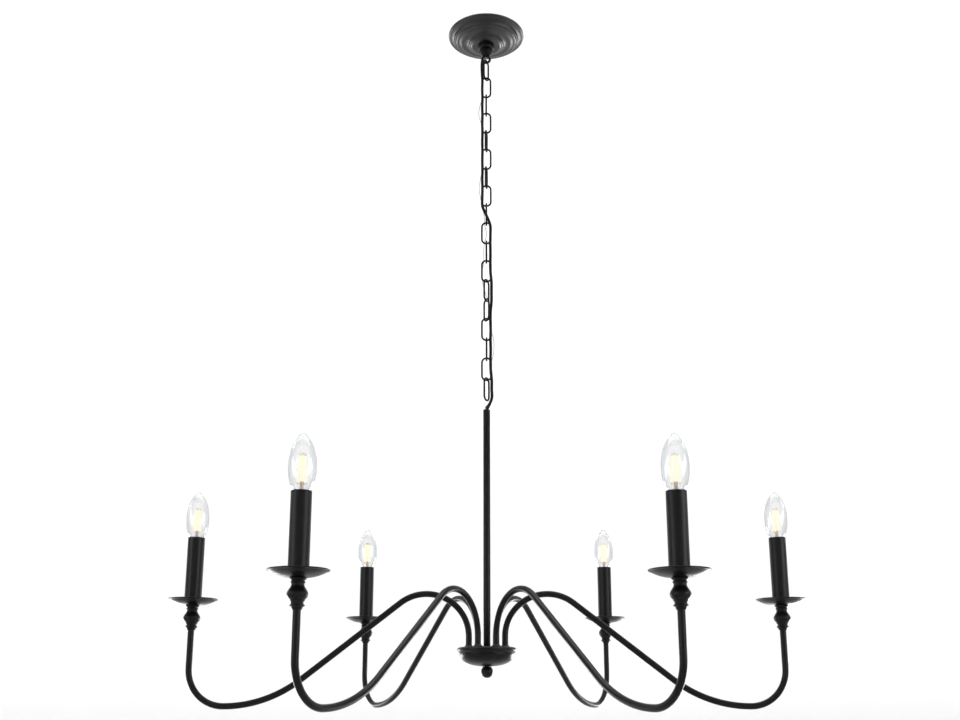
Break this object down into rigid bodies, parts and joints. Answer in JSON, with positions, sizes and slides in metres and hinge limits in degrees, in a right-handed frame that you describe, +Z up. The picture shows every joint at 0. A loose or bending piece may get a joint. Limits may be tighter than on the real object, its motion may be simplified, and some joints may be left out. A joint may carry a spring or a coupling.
{
  "type": "multi arm chandelier",
  "caption": "Black candle chandelier: bent tube arms rise from a small hub and sweep out to turned cups, bobeches and clear bulbs, hung on a stem and link chain from a stepped canopy.",
  "frame": {"origin": "on the ceiling, on the axis of the chain and stem, at the top face of the mounting strap", "axes": "+Z up, out of the room and into the ceiling; +X from the hub to the first arm, which is on the right as the picture sees it; -Y towards the viewer"},
  "size_m": [0.9748, 0.8554, 1.1383],
  "materials": {
    "black_paint": "satin black powder coat",
    "zinc": "zinc plated steel",
    "bulb_glass": "clear glass",
    "cord_jacket": "black flexible jacket",
    "clear_jacket": "thin clear jacket over copper strands"
  },
  "bodies": {
    "mounting": {"mounting_strap": "zinc", "canopy_nipple": "zinc", "collar_loop": "black_paint", "supply_cord": "cord_jacket", "ground_wire": "clear_jacket"},
    "canopy": {"canopy": "black_paint"},
    "collar": {"collar_ring": "black_paint"},
    "chain_link_01": {"chain_link_01": "black_paint"},
    "chain_link_02": {"chain_link_02": "black_paint"},
    "chain_link_03": {"chain_link_03": "black_paint"},
    "chain_link_04": {"chain_link_04": "black_paint"},
    "chain_link_05": {"chain_link_05": "black_paint"},
    "chain_link_06": {"chain_link_06": "black_paint"},
    "chain_link_07": {"chain_link_07": "black_paint"},
    "chain_link_08": {"chain_link_08": "black_paint"},
    "chain_link_09": {"chain_link_09": "black_paint"},
    "chain_link_10": {"chain_link_10": "black_paint"},
    "chain_link_11": {"chain_link_11": "black_paint"},
    "chain_link_12": {"chain_link_12": "black_paint"},
    "chain_link_13": {"chain_link_13": "black_paint"},
    "chain_link_14": {"chain_link_14": "black_paint"},
    "chain_link_15": {"chain_link_15": "black_paint"},
    "chain_link_16": {"chain_link_16": "black_paint"},
    "chain_link_17": {"chain_link_17": "black_paint"},
    "chain_link_18": {"chain_link_18": "black_paint"},
    "frame": {"stem_loop": "black_paint", "stem": "black_paint", "hub_plate": "black_paint", "arm_1": "black_paint", "cup_1": "black_paint", "bobeche_1": "black_paint", "candle_sleeve_1": "black_paint", "arm_2": "black_paint", "cup_2": "black_paint", "bobeche_2": "black_paint", "candle_sleeve_2": "black_paint", "arm_3": "black_paint", "cup_3": "black_paint", "bobeche_3": "black_paint", "candle_sleeve_3": "black_paint", "arm_4": "black_paint", "cup_4": "black_paint", "bobeche_4": "black_paint", "candle_sleeve_4": "black_paint", "arm_5": "black_paint", "cup_5": "black_paint", "bobeche_5": "black_paint", "candle_sleeve_5": "black_paint", "arm_6": "black_paint", "cup_6": "black_paint", "bobeche_6": "black_paint", "candle_sleeve_6": "black_paint"},
    "hub_bowl": {"hub_bowl": "black_paint"},
    "finial": {"finial": "black_paint"},
    "bulb_1": {"bulb_1": "bulb_glass"},
    "bulb_2": {"bulb_2": "bulb_glass"},
    "bulb_3": {"bulb_3": "bulb_glass"},
    "bulb_4": {"bulb_4": "bulb_glass"},
    "bulb_5": {"bulb_5": "bulb_glass"},
    "bulb_6": {"bulb_6": "bulb_glass"}
  },
  "joints": [
    {"name": "collar_unscrew", "type": "slide", "parent": "mounting", "child": "collar", "axis": [0, 0, -1], "range_m": [0, 0.007]},
    {"name": "canopy_lower", "type": "slide", "parent": "mounting", "child": "canopy", "axis": [0, 0, -1], "range_m": [0, 0.007]},
    {"name": "chain_link_01_swing", "type": "hinge", "parent": "mounting", "child": "chain_link_01", "pos_m": [0, 0, -0.05268], "axis": [1, 0, 0], "range_deg": [-12, 12], "deforming": ["supply_cord", "ground_wire"]},
    {"name": "chain_link_02_swing", "type": "hinge", "parent": "chain_link_01", "child": "chain_link_02", "pos_m": [0, 0, -0.08578], "axis": [0.5, 0.866, 0], "range_deg": [-12, 12]},
    {"name": "chain_link_03_swing", "type": "hinge", "parent": "chain_link_02", "child": "chain_link_03", "pos_m": [0, 0, -0.11948], "axis": [-1, 0, 0], "range_deg": [-12, 12]},
    {"name": "chain_link_04_swing", "type": "hinge", "parent": "chain_link_03", "child": "chain_link_04", "pos_m": [0, 0, -0.15318], "axis": [0, -1, 0], "range_deg": [-12, 12]},
    {"name": "chain_link_05_swing", "type": "hinge", "parent": "chain_link_04", "child": "chain_link_05", "pos_m": [0, 0, -0.18688], "axis": [1, 0, 0], "range_deg": [-12, 12]},
    {"name": "chain_link_06_swing", "type": "hinge", "parent": "chain_link_05", "child": "chain_link_06", "pos_m": [0, 0, -0.22058], "axis": [0.1736, 0.9848, 0], "range_deg": [-12, 12]},
    {"name": "chain_link_07_swing", "type": "hinge", "parent": "chain_link_06", "child": "chain_link_07", "pos_m": [0, 0, -0.25428], "axis": [-1, 0, 0], "range_deg": [-12, 12]},
    {"name": "chain_link_08_swing", "type": "hinge", "parent": "chain_link_07", "child": "chain_link_08", "pos_m": [0, 0, -0.28798], "axis": [-0.1736, -0.9848, 0], "range_deg": [-12, 12]},
    {"name": "chain_link_09_swing", "type": "hinge", "parent": "chain_link_08", "child": "chain_link_09", "pos_m": [0, 0, -0.32168], "axis": [1, 0, 0], "range_deg": [-12, 12]},
    {"name": "chain_link_10_swing", "type": "hinge", "parent": "chain_link_09", "child": "chain_link_10", "pos_m": [0, 0, -0.35538], "axis": [0, 1, 0], "range_deg": [-12, 12]},
    {"name": "chain_link_11_swing", "type": "hinge", "parent": "chain_link_10", "child": "chain_link_11", "pos_m": [0, 0, -0.38908], "axis": [-1, 0, 0], "range_deg": [-12, 12]},
    {"name": "chain_link_12_swing", "type": "hinge", "parent": "chain_link_11", "child": "chain_link_12", "pos_m": [0, 0, -0.42278], "axis": [0, -1, 0], "range_deg": [-12, 12]},
    {"name": "chain_link_13_swing", "type": "hinge", "parent": "chain_link_12", "child": "chain_link_13", "pos_m": [0, 0, -0.45648], "axis": [1, 0, 0], "range_deg": [-12, 12]},
    {"name": "chain_link_14_swing", "type": "hinge", "parent": "chain_link_13", "child": "chain_link_14", "pos_m": [0, 0, -0.49018], "axis": [0.5, 0.866, 0], "range_deg": [-12, 12]},
    {"name": "chain_link_15_swing", "type": "hinge", "parent": "chain_link_14", "child": "chain_link_15", "pos_m": [0, 0, -0.52388], "axis": [-0.5, 0.866, 0], "range_deg": [-12, 12]},
    {"name": "chain_link_16_swing", "type": "hinge", "parent": "chain_link_15", "child": "chain_link_16", "pos_m": [0, 0, -0.55758], "axis": [1, 0, 0], "range_deg": [-12, 12]},
    {"name": "chain_link_17_swing", "type": "hinge", "parent": "chain_link_16", "child": "chain_link_17", "pos_m": [0, 0, -0.59128], "axis": [0, -1, 0], "range_deg": [-12, 12]},
    {"name": "chain_link_18_swing", "type": "hinge", "parent": "chain_link_17", "child": "chain_link_18", "pos_m": [0, 0, -0.62498], "axis": [-1, 0, 0], "range_deg": [-12, 12]},
    {"name": "stem_swing", "type": "hinge", "parent": "chain_link_18", "child": "frame", "pos_m": [0, 0, -0.65868], "axis": [-0.5, -0.866, 0], "range_deg": [-12, 12]},
    {"name": "finial_unscrew", "type": "slide", "parent": "frame", "child": "finial", "axis": [0, 0, -1], "range_m": [0, 0.007]},
    {"name": "bowl_lower", "type": "slide", "parent": "frame", "child": "hub_bowl", "axis": [0, 0, -1], "range_m": [0, 0.007]},
    {"name": "bulb_1_unscrew", "type": "slide", "parent": "frame", "child": "bulb_1", "axis": [0, 0, 1], "range_m": [0, 0.04]},
    {"name": "bulb_2_unscrew", "type": "slide", "parent": "frame", "child": "bulb_2", "axis": [0, 0, 1], "range_m": [0, 0.04]},
    {"name": "bulb_3_unscrew", "type": "slide", "parent": "frame", "child": "bulb_3", "axis": [0, 0, 1], "range_m": [0, 0.04]},
    {"name": "bulb_4_unscrew", "type": "slide", "parent": "frame", "child": "bulb_4", "axis": [0, 0, 1], "range_m": [0, 0.04]},
    {"name": "bulb_5_unscrew", "type": "slide", "parent": "frame", "child": "bulb_5", "axis": [0, 0, 1], "range_m": [0, 0.04]},
    {"name": "bulb_6_unscrew", "type": "slide", "parent": "frame", "child": "bulb_6", "axis": [0, 0, 1], "range_m": [0, 0.04]}
  ],
  "couplings": [
    {"joint": "canopy_lower", "follows": "collar_unscrew", "ratio": 1},
    {"joint": "bowl_lower", "follows": "finial_unscrew", "ratio": 1}
  ]
}
